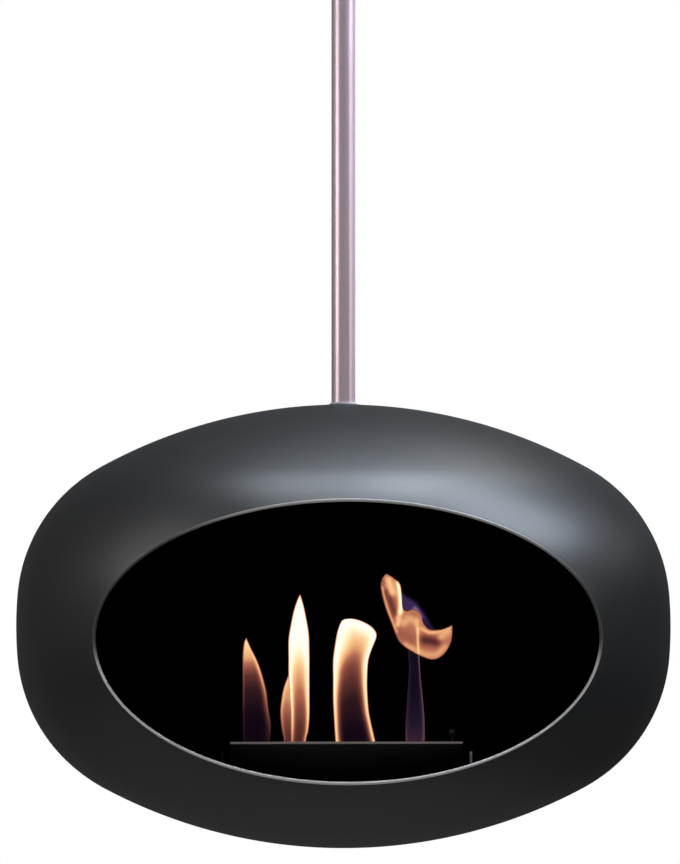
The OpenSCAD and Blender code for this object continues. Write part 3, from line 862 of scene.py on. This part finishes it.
# %% Glowing gas
warm_stops = [
    (0.0, (0.002, 0.001, 0.003)), (0.12, (0.01, 0.0035, 0.01)), (0.25, (0.038, 0.012, 0.015)),
    (0.38, (0.12, 0.034, 0.026)), (0.5, (0.26, 0.075, 0.05)), (0.6, (0.46, 0.15, 0.085)),
    (0.7, (0.78, 0.38, 0.18)), (0.78, (0.97, 0.57, 0.27)), (0.86, (1.0, 0.8, 0.48)),
    (0.93, (1.0, 0.95, 0.75)), (1.0, (1.0, 0.99, 0.93)),
]
stem_stops = [
    (0.0, (0.002, 0.001, 0.003)), (0.15, (0.009, 0.004, 0.013)), (0.3, (0.02, 0.013, 0.029)),
    (0.45, (0.045, 0.014, 0.03)), (0.65, (0.12, 0.065, 0.08)), (0.85, (0.42, 0.22, 0.19)),
    (1.0, (0.8, 0.5, 0.36)),
]
veil_stops = [
    (0.0, (0.002, 0.001, 0.004)), (0.4, (0.018, 0.008, 0.034)), (0.7, (0.05, 0.027, 0.105)),
    (0.85, (0.12, 0.07, 0.16)), (1.0, (0.36, 0.2, 0.24)),
]


def burning(name, stops, veil=0.5):
    """Emission by heat, with no surface of its own; veil is how solid the coolest gas looks."""
    gas = Finish(
        name,
        Base_Color=(0.0, 0.0, 0.0),
        Roughness=1.0,
        Specular_IOR_Level=0.0,
        Emission_Strength=1.05,
    )
    hot = gas.node("ShaderNodeAttribute", {"attribute_name": "gas_heat"}, {}, out="Fac")
    flicker = gas.noise(120, detail=2.0, vector=gas.stretched((1.0, 1.0, 0.25)))
    uneven = hot + (flicker - 0.5) * 0.06
    colour = gas.node("ShaderNodeValToRGB", {"stops": stops}, {"Fac": uneven})
    return gas.set(Emission_Color=colour, Alpha=uneven.fade(0.1, 0.75) * (1 - veil) + veil)


warm_gas = burning("warm_gas", warm_stops)
stem_gas = burning("stem_gas", stem_stops, 0.45)
veil_gas = burning("veil_gas", veil_stops, 0.4)
print("gases:", warm_gas.name, stem_gas.name, veil_gas.name)

# %% [markdown]
# The tongues, left to right: a low one that leans away, a tall white one with a small side tongue, a
# broad one with a slanted top, and a thin purple stem whose head has curled over into a scoop.


# %% The low flame
low_flame = tongue(
    "low_flame",
    [(-87, foot), (-88, -75), (-88, -54), (-88, -35), (-88, -20), (-87, -10), (-85, -5)],
    [
        (-67, foot), (-64, -86), (-64, -78), (-66, -65), (-68, -50), (-72, -35), (-76, -24),
        (-81, -14), (-85, -5),
    ],
    sided(
        along(
            [0, 0.2, 0.35, 0.5, 0.6, 0.7, 0.84, 1],
            [0.05, 0.06, 0.09, 0.17, 0.25, 0.38, 0.7, 0.88],
        ),
        along([0, 0.15, 0.33, 0.5, 0.6, 0.75, 1], [0.08, 0.17, 0.42, 0.62, 0.75, 0.84, 0.9]),
        along([0, 0.4, 0.6, 0.8, 1], [0.1, 0.3, 0.56, 0.78, 0.88]),
        right_width=0.34,
        left_width=0.14,
    ),
)
print("low flame:", len(low_flame.data.vertices), "points")

# %% The tall flame and its side tongue
tall_flame = tongue(
    "tall_flame",
    [
        (-47, foot), (-47, -93), (-47, -71), (-48, -54), (-49, -37), (-49, -24), (-49, -7),
        (-47, 6), (-44.5, 18), (-41.5, 27), (-39, 32),
    ],
    [
        (-36, foot), (-34, -93), (-32, -84), (-31, -71), (-31, -54), (-31, -37), (-31, -20),
        (-31.5, -3), (-33.5, 10), (-36, 22), (-39, 32),
    ],
    rimmed(
        along(
            [0, 0.12, 0.24, 0.39, 0.56, 0.65, 0.73, 1],
            [0.22, 0.3, 0.38, 0.54, 0.72, 0.87, 0.97, 1],
        ),
        along([0, 0.07, 0.12, 0.24, 0.39, 0.56, 1], [0.42, 0.6, 0.72, 0.9, 1, 1, 1]),
        along([0, 0.4, 0.6, 1], [0.36, 0.38, 0.5, 0.6]),
    ),
)
side_flame = tongue(
    "side_flame",
    [(-51, foot), (-53, -93), (-55, -82), (-56, -69), (-55, -58), (-53, -48), (-49, -37)],
    [(-44, foot), (-44, -93), (-44, -75), (-44.5, -63), (-45.5, -50), (-48, -37)],
    rimmed(
        along([0, 0.3, 0.46, 0.73, 1], [0.22, 0.34, 0.44, 0.64, 0.8]),
        along([0, 0.3, 0.46, 0.73, 1], [0.42, 0.58, 0.68, 0.8, 0.9]),
        along([0, 1], [0.34, 0.45]),
    ),
    depth=slot_y + 0.004,
)
print("tall flame:", len(tall_flame.data.vertices), "points")

# %% The broad flame
broad_flame = tongue(
    "broad_flame",
    [
        (-7, foot), (-9, -93), (-10, -78), (-11, -58), (-11, -41), (-11, -24), (-9, -9), (-7, 1),
        (-4, 8.5), (-1, 10.5),
    ],
    [
        (30, foot), (25, -93), (22, -80), (19.5, -67), (18.3, -50), (18.3, -37), (19.3, -24),
        (22.5, -14), (26, -5), (25.5, 0), (20.5, 5.3), (12, 9.5), (5, 11), (-1, 10.5),
    ],
    rimmed(
        along(
            [0, 0.2, 0.4, 0.62, 0.72, 0.8, 0.86, 0.93, 1],
            [0.06, 0.09, 0.22, 0.45, 0.64, 0.75, 0.86, 0.98, 1],
        ),
        along([0, 0.25, 0.45, 0.6, 1], [0.84, 0.9, 0.96, 1, 1]),
        along([0, 0.25, 0.45, 0.6, 0.75, 1], [0.26, 0.27, 0.33, 0.4, 0.5, 0.8]),
    ),
)
print("broad flame:", len(broad_flame.data.vertices), "points")

# %% The stem of the curled flame
stem = tongue(
    "stem",
    [
        (51, foot), (51, -84), (51.6, -71), (52.4, -58), (53.6, -41), (54, -29), (53.5, -16),
        (56, -7),
    ],
    [
        (67.5, foot), (67.5, -84), (67, -71), (65.6, -55), (64.2, -42), (63.3, -29),
        (62.6, -16), (62, -7),
    ],
    sided(
        along([0, 0.2, 0.35, 0.6, 1], [0.48, 0.42, 0.24, 0.17, 0.16]),
        along([0, 0.4, 0.7, 0.9, 1], [0.62, 0.66, 0.72, 0.8, 0.9]),
        along([0, 0.3, 0.5, 1], [0.62, 0.54, 0.4, 0.34]),
        right_width=0.26,
        left_width=0.26,
    ),
    depth=slot_y + 0.004,
    soft=0.2,
    fade=0.5,
)
print("stem:", len(stem.data.vertices), "points")

# %% Its curled head and the veil behind it
curl = tongue(
    "curl",
    [
        (34.5, 49.5), (31.5, 46.5), (29.6, 41), (30, 34), (33.4, 21), (38.7, 7), (44.4, -7),
        (50, -13), (57, -17.5), (65, -21.5), (75, -24), (84, -19), (90, -8), (91, 6),
    ],
    [
        (34.5, 49.5), (40, 46.5), (46, 41), (47.6, 33), (48.4, 21), (52, 18), (58, 19.6),
        (63.5, 15.5), (65.5, 8.5), (69, 3.5), (72.5, 1.8), (81, 2), (87, 4), (91, 6),
    ],
    stroked(
        0.6,
        [
            ([(34, 34), (37.5, 27), (42, 13)], 2.9, 0.4),
            ([(67, -7), (77, -8.5)], 4.2, 0.34),
            ([(47, -1), (54, -6)], 5.0, 0.54),
            ([(36.5, 44), (39.5, 34)], 3.4, 0.76),
            ([(31.5, 43), (31, 36)], 1.8, 0.56),
            ([(51, -11), (60, -16), (70, -19.5), (77, -19), (84, -13)], 3.0, 0.68),
            ([(31, 38), (33.5, 26), (38.5, 12), (43.5, 0)], 1.1, 0.68),
            ([(81, -4), (87, 1)], 4.0, 0.7),
            ([(64, 3), (71.6, -0.5), (81, 0.5), (88, 4)], 1.7, 0.72),
            ([(44, 12), (49, 8), (54, 11), (60, 8)], 3.4, 0.69),
            ([(60, 10), (61, 0)], 1.6, 0.72),
            ([(61, 3), (61, -6), (61.8, -18)], 1.0, 0.78),
            ([(46, 17), (44, 6)], 1.7, 0.75),
            ([(44.5, 42), (46, 32), (46.6, 24), (46.2, 17)], 2.1, 0.93),
        ],
    ),
    depth=slot_y - 0.002,
    rows=160,
    around=96,
)
blue_veil = tongue(
    "blue_veil",
    [(44, 30), (48, 17), (58, 8), (69, -3), (78, -1)],
    [(46, 38), (53, 31), (61, 26), (67, 18), (72.5, 9), (78, -1)],
    stroked(
        0.6,
        [
            ([(59, 19), (62, 16), (65, 11)], 2.6, 0.97),
            ([(66, 8), (72, 3)], 4.0, 0.45),
            ([(47, 38), (54, 31), (62, 26), (68, 17)], 2.0, 0.4),
        ],
    ),
    depth=slot_y + 0.006,
    around=96,
    soft=0.9,
    fade=2.2,
)
print("curl:", len(curl.data.vertices), "points, veil:", len(blue_veil.data.vertices))

# %% [markdown]
# The flames stand on the burner and ride on it. When the lid slides over the slot they go out.

# %% The flames ride on the burner
cooler = {"stem": stem_gas, "blue_veil": veil_gas}
for piece in (low_flame, tall_flame, side_flame, broad_flame, stem, curl, blue_veil):
    piece.data.materials.append(cooler.get(piece.name, warm_gas))
    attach(piece, "burner")
    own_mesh(piece)
print("flames: low, tall with its side tongue, broad, and curled on its stem")

# %% [markdown]
# ## Floor, background and light
#
# The photograph shows the fireplace against white, with its brightest light from above and the right.
# The floor here is pale and matte and keeps the shadow. Further out it turns into the same white as
# the background, so no horizon shows. Both are white to the camera and through glass only. Mirrors see
# a dimmer room, lighter in front than behind and darker on the right, where a dark flag takes part of
# it away. In an all-white room this coat would turn grey right down to the foot.
#
# The lamps are matched to one photograph, and they aren't a plain, even light. A white sheet in the
# object's place comes out at 1.39 facing up and at 0.18 facing the camera, where plain light would
# give about 1 on both, and the three lamps overhead are bluish. Lit otherwise, the object looks
# different, the pole most of all.

# %% Floor
floor_z = lower_low.z - 1.2
front_in_mirrors, back_in_mirrors, floor_in_mirrors = 0.25, 0.08, 0.2
room_fill = 0.045
dark_flag = 0.5
near_white = 0.4


def floor():
    """A wide flat sheet, pale and matte near the object and plain white further out."""
    line = np.linspace(-40, 40, 9)
    x, y = np.meshgrid(line, line)
    piece = surface("floor", np.stack([x, y, np.full_like(x, floor_z)], axis=-1))
    pale = Finish("pale_floor", Roughness=0.9, Specular_IOR_Level=0.1)
    x, y, _ = pale.axes()
    cloud = pale.noise(3)
    pale.set(Base_Color=pale.mix(cloud, (0.78, 0.78, 0.78), (0.82, 0.82, 0.82)))
    path, mirror, clear_ray = pale.rays()
    away = (x * x + y * y) ** 0.5
    dim = floor_in_mirrors + y.fade(-0.2, 1.6) * (back_in_mirrors - floor_in_mirrors)
    dim = dim + away.fade(2.0, 6.0) * (back_in_mirrors - dim)
    level = path + clear_ray + mirror * dim * (1 - dark_flag * x.fade(0.2, 1.5))
    white = pale.node("ShaderNodeEmission", {}, {"Color": (1.0, 1.0, 1.0), "Strength": level})
    whiter = near_white + (1 - near_white) * away.fade(0.8, 2.6)
    shown = whiter * (path + clear_ray) + mirror
    mixed = pale.node("ShaderNodeMixShader", {}, {0: shown, 1: pale.shader, 2: white})
    under = pale.node("ShaderNodeNewGeometry", {}, {}, out="Backfacing")
    see_through = pale.node("ShaderNodeBsdfTransparent", {}, {})
    both = pale.node("ShaderNodeMixShader", {}, {0: under, 1: mixed, 2: see_through})
    pale.link(pale.output.inputs["Surface"], both)
    piece.data.materials.append(pale.material)
    return piece


floor_piece = floor()
if floor_piece.data.polygons[0].normal.z < 0:
    floor_piece.data.flip_normals()
print("floor at z", round(floor_z, 3))


# %% Background
def background():
    """White to the camera, dimmer in mirrors, and a faint even fill for the rest."""
    world = bpy.data.worlds.new("studio")
    bpy.context.scene.world = world
    world.use_nodes = True
    room = Nodes(world.node_tree)
    path, mirror, clear_ray = room.rays()
    direction = room.node("ShaderNodeTexCoord", {}, {}, out="Generated")
    to_right, to_back, upwards = room.split(direction)
    behind = to_back.fade(0.2, 0.7)
    wall = front_in_mirrors + behind * (back_in_mirrors - front_in_mirrors)
    higher = 0.15 * upwards.fade(0.02, 0.3)
    wall = wall * (1 - dark_flag * to_right.fade(0.1, 0.9)) * (1 - higher)
    plain = 1 - (path + clear_ray + mirror)
    strength = path + clear_ray + mirror * wall + plain * room_fill
    sky = room.node("ShaderNodeBackground", {}, {"Color": (1.0, 1.0, 1.0), "Strength": strength})
    out = room.tree.nodes.new("ShaderNodeOutputWorld")
    room.link(out.inputs["Surface"], sky)


background()
print("background:", bpy.context.scene.world.name)


# %% Softboxes
def softbox(
    name, azimuth, elevation, width, height, radiance,
    distance=1.9, rise=0.0, colour=(1.0, 1.0, 1.0), spread=180,
):
    """Area lamp aimed at the axis, rise over the body's middle. Azimuth 0 is in front, 90 on the right.

    Seen from the object, a white box is radiance times as bright as a white sheet in full light. Its
    power is radiance x area x pi. A narrower spread gathers that power, so its axis gets brighter.
    """
    lamp = bpy.data.lights.new(name, "AREA")
    lamp.shape, lamp.spread = "RECTANGLE", math.radians(spread)
    lamp.size, lamp.size_y = width, height
    lamp.energy, lamp.color = radiance * width * height * math.pi, colour
    a, e = math.radians(azimuth), math.radians(elevation)
    towards = Vector((math.sin(a) * math.cos(e), -math.cos(a) * math.cos(e), math.sin(e)))
    piece = bpy.data.objects.new(name, lamp)
    piece.location = Vector((0, 0, body_z + rise)) + distance * towards
    piece.rotation_euler = towards.to_track_quat("Z", "Y").to_euler()
    piece.visible_camera = False
    bpy.context.scene.collection.objects.link(piece)
    return piece


bluish, faintly_blue = (0.76, 0.86, 1.0), (0.82, 0.9, 1.0)
lamps = [
    softbox("key", 80, 48, 1.0, 1.15, 7.1, colour=bluish),
    softbox("key_top", 105, 72, 0.8, 0.7, 5.6, colour=bluish),
    softbox("overhead", 180, 86.5, 1.15, 1.0, 5.1, colour=faintly_blue),
    softbox("back_right", 140, 55, 0.7, 0.6, 1.7),
    softbox("strip_left", -64, 14, 0.36, 0.75, 2.8),
    softbox("strip_right", 72, 14, 0.5, 0.6, 1.4),
    softbox("pole_left", -63, 0, 0.34, 0.62, 1.1, distance=0.7, rise=0.5),
    softbox("pole_right", 96, 0, 0.42, 0.62, 0.32, distance=0.7, rise=0.5),
    softbox("pole_edge", 135, 0, 0.42, 0.62, 0.026, distance=0.7, rise=0.53, spread=44),
    softbox("pole_front", 5, 0, 1.0, 0.3, 0.2, distance=1.2, rise=0.22),
]
print("softboxes:", len(lamps))

# %% [markdown]
# ## Camera
#
# The photograph was taken almost level from a good two and a half metres, a hand's breadth above the
# middle of the body, so the pole stays upright and the top of the front plate can just be seen.

# %% Camera
camera_distance, camera_side, camera_rise = 2.6, -0.05, 0.15
aim_side, aim_rise = -0.0030, 0.1712
pixels_per_metre_at_body = 1121.1
image_height = 864


def camera():
    """A long lens: its focal length gives the body the photograph's scale."""
    lens = bpy.data.cameras.new("camera")
    lens.sensor_width = 36
    lens.lens = lens.sensor_width * camera_distance * pixels_per_metre_at_body / image_height
    lens.clip_end = 100
    piece = bpy.data.objects.new("camera", lens)
    piece.location = (camera_side, -camera_distance, body_z + camera_rise)
    look = Vector((aim_side, 0, body_z + aim_rise)) - piece.location
    piece.rotation_euler = look.to_track_quat("-Z", "Y").to_euler()
    bpy.context.scene.collection.objects.link(piece)
    bpy.context.scene.camera = piece
    return piece


camera_piece = camera()
bpy.context.scene.view_settings.view_transform = "Standard"
print("lens", round(camera_piece.data.lens, 1), "mm")
